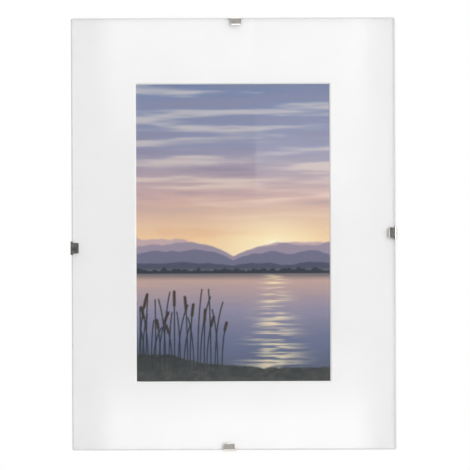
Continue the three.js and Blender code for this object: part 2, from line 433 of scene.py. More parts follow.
def hardboard(settings):
    """Hardboard, wood fibre pressed hot on a wire mesh: a warm brown skin with dark and pale
    fibres a few millimetres long and a faint print of the 1.4 mm mesh. Where a saw has opened
    it, below the back face and round the edges, it is paler and fuzzy."""
    material, tree, shader = new_material(
        "Hardboard", {"Roughness": 0.72, "Specular IOR Level": 0.3}
    )
    places = own_places(tree)
    blotch = add_node(
        tree,
        "ShaderNodeTexNoise",
        {"Scale": 1 / (24 * MM), "Detail": 5.0, "Roughness": 0.62},
        {"Vector": places},
    )
    lying, standing = (
        add_node(
            tree,
            "ShaderNodeTexNoise",
            {"Scale": 1 / (0.8 * MM), "Detail": 3.0, "Roughness": 0.6, "Distortion": 0.4},
            {"Vector": own_places(tree, stretch)},
        )
        for stretch in ((0.2, 1.0, 1.0), (1.0, 1.0, 0.2))
    )
    fibre = add_node(
        tree,
        "ShaderNodeMix",
        {"data_type": "FLOAT", "Factor_Float": 0.5},
        {"A_Float": lying.outputs["Fac"], "B_Float": standing.outputs["Fac"]},
    )
    fleck = add_node(
        tree,
        "ShaderNodeTexVoronoi",
        {"Scale": 1 / (2.6 * MM), "Randomness": 1.0},
        {"Vector": own_places(tree, (1.0, 1.0, 0.45))},
    )
    mix = add_node(
        tree,
        "ShaderNodeMath",
        {"operation": "MULTIPLY_ADD", "Value_001": 0.2},
        {"Value": blotch.outputs["Fac"], "Value_002": fibre.outputs[0]},
    )
    skin = add_node(
        tree,
        "ShaderNodeValToRGB",
        {
            "stops": [
                (0.4, tuple(c * 0.66 for c in settings.pressed)),
                (0.6, settings.pressed),
                (0.78, tuple(min(1, c * 1.35) for c in settings.pressed)),
            ]
        },
        {"Fac": mix.outputs["Value"]},
    )
    dark_fleck = add_node(
        tree,
        "ShaderNodeMapRange",
        {"From Min": 0.04, "From Max": 0.16, "To Min": 0.7, "To Max": 1.0},
        {"Value": fleck.outputs["Distance"]},
    )
    flecked = add_node(
        tree,
        "ShaderNodeVectorMath",
        {"operation": "SCALE"},
        {"Vector": skin.outputs["Color"], "Scale": dark_fleck.outputs["Result"]},
    )
    depth = add_node(tree, "ShaderNodeSeparateXYZ", links={"Vector": places})
    below_skin = add_node(
        tree,
        "ShaderNodeMapRange",
        {"From Min": BACK - 0.12 * MM, "From Max": BACK - 0.3 * MM},
        {"Value": depth.outputs["Y"]},
    )
    sawn = add_node(
        tree,
        "ShaderNodeValToRGB",
        {"stops": [(0.3, tuple(c * 0.6 for c in settings.sawn)), (0.7, settings.sawn)]},
        {"Fac": fibre.outputs[0]},
    )
    colour = add_node(
        tree,
        "ShaderNodeMix",
        {"data_type": "RGBA"},
        {
            "Factor_Float": below_skin.outputs["Result"],
            "A_Color": flecked.outputs["Vector"],
            "B_Color": sawn.outputs["Color"],
        },
    )
    mesh_print = crossed_threads(tree, 1.4 * MM, 0.6)
    relief = add_node(
        tree,
        "ShaderNodeMath",
        {"operation": "MULTIPLY_ADD", "Value_001": 0.4},
        {"Value": mesh_print, "Value_002": fibre.outputs[0]},
    )
    bump = add_node(
        tree,
        "ShaderNodeBump",
        {"Strength": 0.45, "Distance": 0.12 * MM},
        {"Height": relief.outputs["Value"]},
    )
    tree.links.new(colour.outputs[2], shader.inputs["Base Color"])
    tree.links.new(bump.outputs["Normal"], shader.inputs["Normal"])
    return material


def plated_metal(name, colour, smooth, rough, grain):
    """Plated or polished metal: a clear mirror broken by fine rolling lines and by a patchy dull
    film, so its roughness runs between two values."""
    material, tree, shader = new_material(name, {"Metallic": 1.0, "Base Color": rgba(colour)})
    film = add_node(
        tree,
        "ShaderNodeTexNoise",
        {"Scale": 1 / grain, "Detail": 5.0, "Roughness": 0.65},
        {"Vector": own_places(tree)},
    )
    lines = add_node(
        tree,
        "ShaderNodeTexNoise",
        {"Scale": 1 / (0.12 * MM), "Detail": 2.0},
        {"Vector": own_places(tree, (1.0, 0.04, 0.04))},
    )
    dull = add_node(
        tree,
        "ShaderNodeMapRange",
        {"From Min": 0.35, "From Max": 0.7, "To Min": smooth, "To Max": rough},
        {"Value": film.outputs["Fac"]},
    )
    worn = add_node(
        tree,
        "ShaderNodeValToRGB",
        {"stops": [(0.3, tuple(c * 0.82 for c in colour)), (0.62, colour)]},
        {"Fac": film.outputs["Fac"]},
    )
    bump = add_node(
        tree,
        "ShaderNodeBump",
        {"Strength": 0.06, "Distance": 0.01 * MM},
        {"Height": lines.outputs["Fac"]},
    )
    tree.links.new(worn.outputs["Color"], shader.inputs["Base Color"])
    tree.links.new(dull.outputs["Result"], shader.inputs["Roughness"])
    tree.links.new(bump.outputs["Normal"], shader.inputs["Normal"])
    return material


def matt_paint(colour):
    """Matt studio paint."""
    material, _, _ = new_material(
        "Matt studio paint", {"Base Color": rgba(colour), "Roughness": 0.9}
    )
    return material


def studio_walls():
    """A studio seen white behind everything. To the light it gives, it is bright behind the
    frame, above and below, and dim straight in front, with a pale window high on the right, a
    dark doorway beside it, a dark wall on the left and pale cards above and below the middle."""
    world = bpy.data.worlds.new("Studio walls")
    world.use_nodes = True
    tree = world.node_tree
    tree.nodes.clear()
    places = add_node(tree, "ShaderNodeTexCoord")
    way = add_node(tree, "ShaderNodeSeparateXYZ", links={"Vector": places.outputs["Generated"]})
    aside, above = (
        add_node(tree, "ShaderNodeMath", {"operation": "ABSOLUTE"}, {"Value": way.outputs[axis]})
        for axis in ("X", "Z")
    )
    across_walls = ((-0.9, 0.12), (-0.055, 0.16), (0.055, 0.01), (0.3, 0.01), (0.55, 0.9))
    up_the_middle = (
        (-0.1, 1.6),
        (-0.072, 1.5),
        (-0.055, 0.5),
        (-0.04, 0.17),
        (0.03, 0.2),
        (0.05, 0.75),
        (0.075, 1.1),
        (0.1, 1.4),
    )
    sides, middle = (
        add_node(
            tree,
            "ShaderNodeValToRGB",
            {"stops": [(0.5 + place / reach, (grey, grey, grey)) for place, grey in stops]},
            {
                "Fac": add_node(
                    tree,
                    "ShaderNodeMapRange",
                    {"From Min": -reach / 2, "From Max": reach / 2},
                    {"Value": way.outputs[axis]},
                ).outputs["Result"]
            },
        )
        for axis, stops, reach in (("X", across_walls, 2.0), ("Z", up_the_middle, 0.2))
    )
    beside, high = (
        add_node(
            tree,
            "ShaderNodeMapRange",
            {"interpolation_type": "SMOOTHSTEP", "From Min": start, "From Max": end},
            {"Value": source.outputs["Value"]},
        )
        for source, start, end in ((aside, 0.056, 0.044), (above, 0.24, 0.38))
    )
    front = add_node(
        tree,
        "ShaderNodeMix",
        {"data_type": "RGBA"},
        {
            "Factor_Float": beside.outputs["Result"],
            "A_Color": sides.outputs["Color"],
            "B_Color": middle.outputs["Color"],
        },
    )
    front = add_node(
        tree,
        "ShaderNodeMix",
        {"data_type": "RGBA", "B_Color": (1.35, 1.35, 1.36, 1)},
        {"Factor_Float": high.outputs["Result"], "A_Color": front.outputs[2]},
    )
    window = None
    for axis, start, end in (("X", 0.0072, 0.0088), ("X", 0.055, 0.036), ("Z", 0.004, 0.03)):
        share = add_node(
            tree,
            "ShaderNodeMapRange",
            {"interpolation_type": "SMOOTHSTEP", "From Min": start, "From Max": end},
            {"Value": way.outputs[axis]},
        ).outputs["Result"]
        if window is None:
            window = share
        else:
            window = add_node(
                tree,
                "ShaderNodeMath",
                {"operation": "MULTIPLY"},
                {"Value": window, "Value_001": share},
            ).outputs["Value"]
    front = add_node(
        tree,
        "ShaderNodeMix",
        {"data_type": "RGBA", "B_Color": (0.85, 0.83, 0.82, 1)},
        {"Factor_Float": window, "A_Color": front.outputs[2]},
    )
    behind = add_node(
        tree,
        "ShaderNodeMapRange",
        {"interpolation_type": "SMOOTHSTEP", "From Min": -0.3, "From Max": 0.2},
        {"Value": way.outputs["Y"]},
    )
    lit = add_node(
        tree,
        "ShaderNodeMix",
        {"data_type": "RGBA", "B_Color": (0.9, 0.9, 0.9, 1)},
        {"Factor_Float": behind.outputs["Result"], "A_Color": front.outputs[2]},
    )
    ray = add_node(tree, "ShaderNodeLightPath")
    seen = add_node(tree, "ShaderNodeBackground", {"Color": (1, 1, 1, 1), "Strength": 1.0})
    room = add_node(tree, "ShaderNodeBackground", {"Strength": 1.0}, {"Color": lit.outputs[2]})
    mixed = add_node(
        tree,
        "ShaderNodeMixShader",
        links={
            "Fac": ray.outputs["Is Camera Ray"],
            "Shader": room.outputs["Background"],
            "Shader_001": seen.outputs["Background"],
        },
    )
    add_node(tree, "ShaderNodeOutputWorld", links={"Surface": mixed.outputs["Shader"]})
    return world


def start_piece(name, add, at=(0, 0, 0), turned=(0, 0, 0), sized=(1, 1, 1), **shape):
    """Adds a primitive with nothing else selected, at its place and size."""
    bpy.ops.object.select_all(action="DESELECT")
    add(**shape)
    piece = bpy.context.object
    piece.name = name
    piece.location, piece.rotation_euler, piece.scale = at, turned, sized
    bpy.ops.object.transform_apply(location=True, rotation=True, scale=True)
    return piece


def pick(piece, kind, wanted):
    """Selects, in edit mode, the edges or faces that pass a test of their middle."""
    bpy.ops.mesh.select_mode(type=kind)
    bpy.ops.mesh.select_all(action="DESELECT")
    mesh = bmesh.from_edit_mesh(piece.data)
    parts = {"EDGE": mesh.edges, "FACE": mesh.faces}[kind]
    for part in parts:
        middle = sum((corner.co for corner in part.verts), Vector()) / len(part.verts)
        part.select_set(bool(wanted(middle, part)))
    mesh.select_flush_mode()
    bmesh.update_edit_mesh(piece.data)


def cut(piece, cutter):
    """Cuts one solid out of another and removes the cutter."""
    bpy.context.view_layer.objects.active = piece
    bpy.ops.object.modifier_add(type="BOOLEAN")
    cutting = piece.modifiers[-1]
    cutting.object = cutter
    cutting.operation = "DIFFERENCE"
    bpy.ops.object.modifier_apply(modifier=cutting.name)
    bpy.data.objects.remove(cutter)


def soften(piece, width, segments=3):
    """Rounds off a piece's sharp edges and smooths its shading."""
    bpy.ops.object.select_all(action="DESELECT")
    piece.select_set(True)
    bpy.context.view_layer.objects.active = piece
    bpy.ops.object.modifier_add(type="BEVEL")
    bevel = piece.modifiers[-1]
    bevel.width = width
    bevel.segments = segments
    bevel.limit_method = "ANGLE"
    bevel.angle_limit = math.radians(40)
    bpy.ops.object.modifier_apply(modifier=bevel.name)
    shade(piece)


def shade(piece):
    """Smooth shading that keeps flat faces flat."""
    bpy.ops.object.select_all(action="DESELECT")
    piece.select_set(True)
    bpy.context.view_layer.objects.active = piece
    bpy.ops.object.shade_smooth_by_angle(angle=math.radians(35))
    bpy.ops.object.modifier_add(type="WEIGHTED_NORMAL")
    weighted = piece.modifiers[-1]
    weighted.keep_sharp = True
    bpy.ops.object.modifier_apply(modifier=weighted.name)


def settle(piece, turned, at):
    """Turns and moves a piece to its place, and leaves its object at the origin."""
    bpy.ops.object.select_all(action="DESELECT")
    piece.select_set(True)
    bpy.context.view_layer.objects.active = piece
    piece.rotation_euler, piece.location = turned, at
    bpy.ops.object.transform_apply(location=True, rotation=True, scale=True)


def mount(piece, body, slot, *nodes):
    """Lets a piece ride on a body and stand for CAD nodes, which it hides. The slot is not used."""
    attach(piece, body)
    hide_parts(*nodes)


def close_up():
    """Merges doubled points and turns every face outwards, in edit mode."""
    bpy.ops.mesh.select_all(action="SELECT")
    bpy.ops.mesh.remove_doubles(threshold=0.001 * MM)
    bpy.ops.mesh.normals_make_consistent(inside=False)


def runs_of(corners):
    """The runs that follow a line of (depth, outward, radius, width) corners: how far to go
    straight, then the bend's radius and turn, and the strip's width from there on."""
    points = [Vector(corner[:2]) for corner in corners]
    runs = []
    spent = 0
    for i in range(1, len(corners)):
        leg = points[i] - points[i - 1]
        turn = taken = 0
        if i < len(corners) - 1:
            turn = -leg.angle_signed(points[i + 1] - points[i])
            taken = corners[i][2] * math.tan(abs(turn) / 2)
        runs.append((leg.length - spent - taken, corners[i][2], turn, corners[i][3]))
        spent = taken
    first = points[1] - points[0]
    return runs, math.atan2(first.y, first.x)


def bend_along(start, heading, runs, width):
    """Extrudes the selected section straight ahead and spins it round each bend, in the Y-Z
    plane. Heading is its angle from Y towards Z."""
    here = Vector((0, *start))
    for distance, radius, turn, next_width in runs:
        ahead = Vector((0, math.cos(heading), math.sin(heading)))
        bpy.ops.mesh.extrude_region_move(TRANSFORM_OT_translate={"value": ahead * distance})
        here += ahead * distance
        if next_width != width:
            bpy.ops.transform.resize(value=(next_width / width, 1, 1), center_override=here)
            width = next_width
        if radius and abs(turn) > 0.001:
            side = Vector((0, -ahead.z, ahead.y)) * math.copysign(radius, turn)
            centre = here + side
            steps = max(3, math.ceil(math.degrees(abs(turn)) / 9))
            bpy.ops.mesh.spin(steps=steps, angle=turn, center=centre, axis=(-1, 0, 0))
            heading += turn
            back = Vector((0, math.sin(heading), -math.cos(heading)))
            here = centre + back * math.copysign(radius, turn)


class CLIPFRAME_OT_glass(bpy.types.Operator):
    """Add the pane of glass with ground edges"""

    bl_idname = "clip_frame.glass"
    bl_label = "Glass pane"

    def execute(self, context):
        settings = context.scene.clip_frame_glass
        size = GLASS_HIGH - GLASS_LOW
        piece = start_piece("glass", bpy.ops.mesh.primitive_cube_add, at=MIDDLE, sized=size, size=1)
        bpy.ops.object.mode_set(mode="EDIT")
        pick(piece, "EDGE", lambda middle, edge: abs(middle.y - MIDDLE.y) < 0.1 * MM)
        bpy.ops.mesh.bevel(offset=settings.corner, segments=1, affect="EDGES")
        pick(piece, "EDGE", lambda middle, edge: len({round(v.co.y, 6) for v in edge.verts}) == 1)
        bpy.ops.mesh.bevel(offset=settings.arris, segments=1, affect="EDGES")
        piece.data.materials.append(float_glass(settings))
        piece.data.materials.append(ground_glass(settings))
        pick(piece, "FACE", lambda middle, face: abs(face.normal.y) < 0.99)
        piece.active_material_index = 1
        bpy.ops.object.material_slot_assign()
        bpy.ops.object.mode_set(mode="OBJECT")
        mount(piece, "panel", "glass", "glass_pane")
        return {"FINISHED"}


class CLIPFRAME_OT_mat(bpy.types.Operator):
    """Add the mat with its bevelled window"""

    bl_idname = "clip_frame.mat"
    bl_label = "Mat"

    def execute(self, context):
        settings = context.scene.clip_frame_mat
        low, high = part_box("mat_board")
        size = high - low
        piece = start_piece(
            "mat", bpy.ops.mesh.primitive_cube_add, at=(low + high) / 2, sized=size, size=1
        )
        border = 20 * MM
        bpy.ops.object.mode_set(mode="EDIT")
        for facing in (-1, 1):
            bevel = size.y if facing < 0 else 0
            wide = settings.window_width + 2 * bevel
            tall = settings.window_height + 2 * bevel
            pick(piece, "FACE", lambda middle, face: face.normal.y * facing > 0.9)
            bpy.ops.mesh.inset(thickness=border)
            place = Vector((PRINT_MIDDLE.x, high.y if facing > 0 else low.y, PRINT_MIDDLE.z))
            bpy.ops.transform.resize(
                value=(wide / (size.x - 2 * border), 1, tall / (size.z - 2 * border)),
                center_override=(low + high) / 2,
            )
            shift = place - (low + high) / 2
            bpy.ops.transform.translate(value=(shift.x, 0, shift.z))
            bpy.ops.mesh.delete(type="FACE")
        pick(piece, "EDGE", lambda middle, edge: edge.is_boundary)
        bpy.ops.mesh.bridge_edge_loops()
        close_up()
        bpy.ops.object.mode_set(mode="OBJECT")
        soften(piece, 0.06 * MM, 2)
        piece.data.materials.append(mat_card(settings, low, high))
        mount(piece, "panel", "mat", "mat_board")
        return {"FINISHED"}


def ramp(value, stops):
    """Blends hex colours over rising values. Returns sRGB, one row for each value."""
    places = [place for place, _ in stops]
    colours = [[int(code[i : i + 2], 16) / 255 for i in (1, 3, 5)] for _, code in stops]
    return np.stack([np.interp(value, places, channel) for channel in zip(*colours)], 1)


def ease(value, low, high):
    """0 below low, 1 above high and smooth between them."""
    share = np.clip((value - low) / (high - low), 0, 1)
    return share * share * (3 - 2 * share)


def drift(x, z, across, up, seed, octaves=4):
    """Smooth random patches from 0 to 1, about that many millimetres across and up."""
    cells = np.random.default_rng(seed).random((128, 128))
    total = np.zeros(len(x))
    weight = 0
    for octave in range(octaves):
        u, v = x / across * 2**octave + 40, z / up * 2**octave + 40
        i, j = np.floor(u).astype(int), np.floor(v).astype(int)
        s, t = ease(u - i, 0, 1), ease(v - j, 0, 1)
        near = cells[i % 128, j % 128] * (1 - s) + cells[(i + 1) % 128, j % 128] * s
        far = cells[i % 128, (j + 1) % 128] * (1 - s) + cells[(i + 1) % 128, (j + 1) % 128] * s
        total += (near * (1 - t) + far * t) / 2**octave
        weight += 1 / 2**octave
    return total / weight


def glow(x, z, middle, reach):
    """A soft round patch, 1 in the middle."""
    return np.exp(-(((x - middle[0]) / reach[0]) ** 2) - ((z - middle[1]) / reach[1]) ** 2)


def curve(*points, steps=28):
    """Points on a smooth curve that is pulled towards each point between its ends."""
    t = np.linspace(0, 1, steps)[:, None]
    level = [np.array(point, float) for point in points]
    while len(level) > 1:
        level = [a * (1 - t) + b * t for a, b in zip(level, level[1:])]
    return level[0]


def distance_to(x, z, line):
    """Distance in millimetres from each place to a line of points."""
    nearest = np.full(len(x), np.inf)
    for (ax, az), (bx, bz) in zip(line, line[1:]):
        dx, dz = bx - ax, bz - az
        t = np.clip(((x - ax) * dx + (z - az) * dz) / max(dx * dx + dz * dz, 1e-9), 0, 1)
        nearest = np.minimum(nearest, np.hypot(x - ax - t * dx, z - az - t * dz))
    return nearest


class Painting:
    """A picture painted in layers over a set of places in millimetres."""

    def __init__(self, x, z):
        self.x, self.z = x, z
        self.inks = np.ones((len(x), 3))

    def lay(self, colour, cover=1.0):
        """Lays a colour, or one for each place, over what is there."""
        colour = ramp(np.zeros(1), [(0, colour)]) if isinstance(colour, str) else colour
        cover = np.broadcast_to(cover, len(self.x))[:, None]
        self.inks = self.inks * (1 - cover) + colour * cover

    def stroke(self, colour, line, width, strength=1.0):
        """Draws a line of that width."""
        edge = distance_to(self.x, self.z, line)
        self.lay(colour, strength * np.clip(0.5 + (width / 2 - edge) / SOFT_EDGE, 0, 1))


WATERLINE = -38.0
SUN = (38.0, -14.0)


def paint_sky(picture):
    """Dusk over a lake: slate blue overhead, warming to cream at the skyline, with thin level
    cloud and a low sun."""
    x, z = picture.x, picture.z
    up = z - WATERLINE
    picture.lay(
        ramp(
            up,
            [(0, "#f7e0b6"), (32, "#efc9a0"), (72, "#cbaaa8"), (116, "#9292ae"), (176, "#66769f")],
        )
    )
    bands = drift(x, z, 90, 7, seed=5)
    veil = drift(x, z, 44, 15, seed=6)
    picture.lay("#f6e2cf", ease(bands, 0.5, 0.75) * ease(up, 36, 70) * 0.5)
    picture.lay("#857d97", ease(1 - bands, 0.5, 0.75) * ease(up, 46, 86) * 0.45)
    picture.lay("#e2ad88", ease(veil, 0.5, 0.75) * ease(84 - up, 0, 50) * 0.45)
    picture.lay("#fff2cb", glow(x, z, SUN, (44, 26)) * 0.8)
    picture.lay("#fffdf2", glow(x, z, SUN, (6, 6)))


def paint_hills(picture):
    """Four ranges of hills, each nearer one lower and darker, with mist at their feet, and a
    tree line on the far shore."""
    x, z = picture.x, picture.z
    up = z - WATERLINE
    level = np.zeros(len(x))
    ranges = (("#c2a7ab", 46, 66), ("#998c9f", 35, 50), ("#6f6d87", 24, 36), ("#4a4e64", 14, 26))
    for order, (colour, height, reach) in enumerate(ranges):
        ridge = height * (0.3 + 0.7 * drift(x, level, reach, 1, seed=60 + order, octaves=5))
        cover = np.clip(0.5 + (ridge - up) / 0.9, 0, 1)
        picture.lay(colour, cover)
        picture.lay("#e4c6b0", cover * ease(0.45 * height - up, 0, 0.45 * height) * 0.4)
    trees = 1.6 + 5.0 * drift(x, level, 4, 1, seed=66, octaves=3)
    picture.lay("#2d3340", np.clip(0.5 + (trees - up) / SOFT_EDGE, 0, 1))


def paint_water(picture):
    """Still water that mirrors the sky in level ripples, with the sun's path across it."""
    x, z = picture.x, picture.z
    down = WATERLINE - z
    shown = np.clip(0.5 + down / SOFT_EDGE, 0, 1)
    ripple = drift(x, z, 30, 1.5, seed=71, octaves=3)
    picture.lay(
        ramp(
            down + 8 * (ripple - 0.5),
            [(0, "#c9a695"), (12, "#b79c9c"), (34, "#9089a0"), (64, "#666d8c"), (100, "#404a64")],
        ),
        shown,
    )
    picture.lay("#484e62", shown * ease(7 - down, 0, 7) * 0.65)
    path = np.exp(-(((x - SUN[0]) / (8 + 0.22 * down)) ** 2)) * ease(ripple, 0.4, 0.7)
    picture.lay("#ffe8bb", shown * path * 0.85)


def paint_shore(picture):
    """A dark bank along the lower edge, with reeds standing on its left."""
    x, z = picture.x, picture.z
    bank = -124 + 12 * ease(-x, -10, 80) + 6 * (drift(x, z, 14, 6, seed=81) - 0.5)
    cover = np.clip(0.5 + (bank - z) / 1.2, 0, 1)
    picture.lay(ramp(drift(x, z, 5, 3, seed=82), [(0.3, "#1f2328"), (0.7, "#3b3c3a")]), cover)
    for reed in range(34):
        foot = -92 + 84 * (reed * 0.618 % 1) ** 1.4
        tall = 28 + 38 * (reed * 0.437 % 1)
        lean = 18 * (reed * 0.271 % 1 - 0.45)
        blade = curve((foot, -128), (foot, 0.6 * tall - 118), (foot + lean, tall - 118), steps=10)
        picture.stroke("#20242a", blade, 1.1, 0.95)
        if reed % 3 == 0:
            picture.stroke("#3a2e27", blade[-3:], 2.6, 0.95)


class CLIPFRAME_OT_print(bpy.types.Operator):
    """Add the print with a lake at dusk painted on it, and the tapes' finish"""

    bl_idname = "clip_frame.print"
    bl_label = "Print"

    def execute(self, context):
        settings = context.scene.clip_frame_print
        mat = context.scene.clip_frame_mat
        size = PRINT_HIGH - PRINT_LOW
        shown = Vector((mat.window_width + 2 * MM, 0, mat.window_height + 2 * MM))
        across_cells = round(shown.x / settings.cell)
        up_cells = round(shown.z / settings.cell * 0.72)
        piece = start_piece(
            "print",
            bpy.ops.mesh.primitive_grid_add,
            at=(PRINT_MIDDLE.x, PRINT_LOW.y, PRINT_MIDDLE.z),
            turned=(math.pi / 2, 0, 0),
            sized=(shown.x, shown.z, 1),
            size=1,
            x_subdivisions=across_cells,
            y_subdivisions=up_cells,
        )
        bpy.ops.object.mode_set(mode="EDIT")
        pick(piece, "EDGE", lambda middle, edge: edge.is_boundary)
        bpy.ops.mesh.extrude_region_move()
        bpy.ops.transform.resize(
            value=(size.x / shown.x, 1, size.z / shown.z), center_override=PRINT_MIDDLE
        )
        bpy.ops.mesh.extrude_region_move(TRANSFORM_OT_translate={"value": (0, size.y, 0)})
        bpy.ops.mesh.edge_face_add()
        close_up()
        bpy.ops.object.mode_set(mode="OBJECT")
        places = np.empty(len(piece.data.vertices) * 3, np.float32)
        piece.data.vertices.foreach_get("co", places)
        places = places.reshape(-1, 3)
        picture = Painting(
            (places[:, 0] - PRINT_MIDDLE.x) / MM, (places[:, 2] - PRINT_MIDDLE.z) / MM
        )
        for paint in (paint_sky, paint_hills, paint_water, paint_shore):
            paint(picture)
        inks = picture.inks
        inks = np.where(inks <= 0.04045, inks / 12.92, ((inks + 0.055) / 1.055) ** 2.4)
        inks[places[:, 1] > PRINT_MIDDLE.y] = settings.paper
        layer = piece.data.color_attributes.new("ink", "FLOAT_COLOR", "POINT")
        layer.data.foreach_set("color", np.insert(inks, 3, 1, axis=1).astype(np.float32).ravel())
        piece.data.materials.append(lustre_print())
        mount(piece, "panel", "photo", "photo_print")
        tape = linen_tape(settings)
        for side in ("left", "right"):
            frame["nodes"][f"hinge_tape_{side}"].data.materials.clear()
            frame["nodes"][f"hinge_tape_{side}"].data.materials.append(tape)
        return {"FINISHED"}


class CLIPFRAME_OT_board(bpy.types.Operator):
    """Add the hardboard back with its clip grooves and rivet holes"""

    bl_idname = "clip_frame.board"
    bl_label = "Backing board"

    def execute(self, context):
        settings = context.scene.clip_frame_board
        low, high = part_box("backing_board")
        middle = (low + high) / 2
        size = high - low
        piece = start_piece("board", bpy.ops.mesh.primitive_cube_add, at=middle, sized=size, size=1)
        past = 10 * MM
        half = Vector((size.x, 0, size.z)) / 2 - Vector((1, 0, 1)) * settings.groove_inset
        saw = settings.groove_width
        floor_y = high.y - settings.groove_depth + past / 2
        for side in (-1, 1):
            for at, sized in (
                ((middle.x + side * half.x, floor_y, middle.z), (saw, past, size.z + past)),
                ((middle.x, floor_y, middle.z + side * half.z), (size.x + past, past, saw)),
            ):
                cutter = start_piece(
                    "saw", bpy.ops.mesh.primitive_cube_add, at=at, sized=sized, size=1
                )
                cut(piece, cutter)
        for which in ("portrait", "landscape"):
            rivet_low, rivet_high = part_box(f"{which}_hanger_rivet")
            centre = (rivet_low + rivet_high) / 2
            for radius, depth in ((RIVET_HOLE, 2 * size.y), (4.0 * MM, 0.8 * MM)):
                drill = start_piece(
                    "drill",
                    bpy.ops.mesh.primitive_cylinder_add,
                    at=(centre.x, low.y + depth - past / 2, centre.z),
                    turned=(math.pi / 2, 0, 0),
                    radius=radius,
                    depth=past,
                    vertices=48,
                )
                cut(piece, drill)
        soften(piece, 0.25 * MM)
        piece.data.materials.append(hardboard(settings))
        mount(piece, "panel", "hardboard", "backing_board")
        return {"FINISHED"}


def clip_corners(settings):
    """The clip's centre line from the lip's tip to the finger tab, as (depth behind the glass's
    front face, distance outside its edge, bend radius, width)."""
    board = (BACK - FRONT) / MM
    edge, lip, tail = (w / MM for w in (settings.width, settings.lip_width, settings.tail_width))
    grip = settings.grip / MM
    rest = -(0.1 + settings.steel / MM / 2)
    groove = -19.4
    flare = [
        (rest - 0.45 * (s + grip) / (grip + 1.15), s, 0, lip + share * (edge - lip))
        for s, share in ((-2.3, 0.0), (-1.7, 0.12), (-1.25, 0.4), (-1.0, 1.0))
    ]
    leg = [
        (board + 2.75 - (2.25 * (1.15 - s) / (1.15 - groove - 1.8)), s, 0, width)
        for s, width in ((-2, edge), (-4, edge - 0.8), (-6, tail + 0.8), (-8, tail))
    ]
    return [
        (rest - 0.55, -grip - 0.8, 0, lip),
        (rest, -grip, 0.6, lip),
        *flare,
        (rest - 0.45, 1.15, 2.0, edge),
        (board + 2.75, 1.15, 1.5, edge),
        *leg,
        (board + 0.5, groove + 1.8, 0.6, tail),
        (board - 1.05, groove, 0.5, tail),
        (board + 0.5, groove - 1.8, 0.6, tail),
        (board + 2.3, groove - 5.6, 0, tail),
    ]


class CLIPFRAME_OT_clips(bpy.types.Operator):
    """Add the four sprung steel clips"""

    bl_idname = "clip_frame.clips"
    bl_label = "Clips"

    def execute(self, context):
        settings = context.scene.clip_frame_clips
        steel = plated_metal("Nickel-plated spring steel", settings.plate, 0.1, 0.22, 6 * MM)
        corners = [tuple(value * MM for value in corner) for corner in clip_corners(settings)]
        runs, heading = runs_of(corners)
        tip, tab = corners[0], corners[-1]
        for side, (turn, edge) in EDGES.items():
            piece = start_piece(
                f"{side}_clip_strip",
                bpy.ops.mesh.primitive_plane_add,
                at=(0, *tip[:2]),
                turned=(heading - math.pi / 2, 0, 0),
                sized=(tip[3], settings.steel, 1),
                size=1,
            )
            bpy.ops.object.mode_set(mode="EDIT")
            bpy.ops.mesh.select_all(action="SELECT")
            bend_along(tip[:2], heading, runs, tip[3])
            close_up()
            for end, radius in ((tip, 1.5 * MM), (tab, 2.6 * MM)):
                place = Vector((0, *end[:2]))
                pick(
                    piece,
                    "EDGE",
                    lambda middle, part: abs(abs(middle.x) - end[3] / 2) < 0.05 * MM
                    and (Vector((0, *middle.yz)) - place).length < 0.05 * MM,
                )
                bpy.ops.mesh.bevel(offset=radius, segments=6, affect="EDGES")
            bpy.ops.object.mode_set(mode="OBJECT")
            soften(piece, 0.07 * MM)
            low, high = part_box(f"clip_{side}")
            along = (low + high) / 2 - edge
            slide = (along.x, 0, 0) if side in ("top", "bottom") else (0, 0, along.z)
            settle(piece, (0, turn, 0), edge + Vector(slide))
            piece.data.materials.append(steel)
            mount(piece, f"{side}_clip", "clip_steel", f"clip_{side}")
        return {"FINISHED"}


def ring_corners(settings, low, high):
    """The ring's wire from the middle of its bar round to the same place, pointing up."""
    wide, tall = (high - low).x, (high - low).z
    half, rise, apex, corner = (wide - settings.wire) / 2 + 0.8 * MM, 14 * MM, 3.5 * MM, 1.8 * MM
    lean = math.atan2(rise - apex, half) + math.asin(apex / math.hypot(half, rise - apex))
    return [
        (0, 0, 0, 1),
        (half, 0, corner, 1),
        (0, half * math.tan(lean), apex, 1),
        (-half, 0, corner, 1),
        (0, 0, 0, 1),
    ]


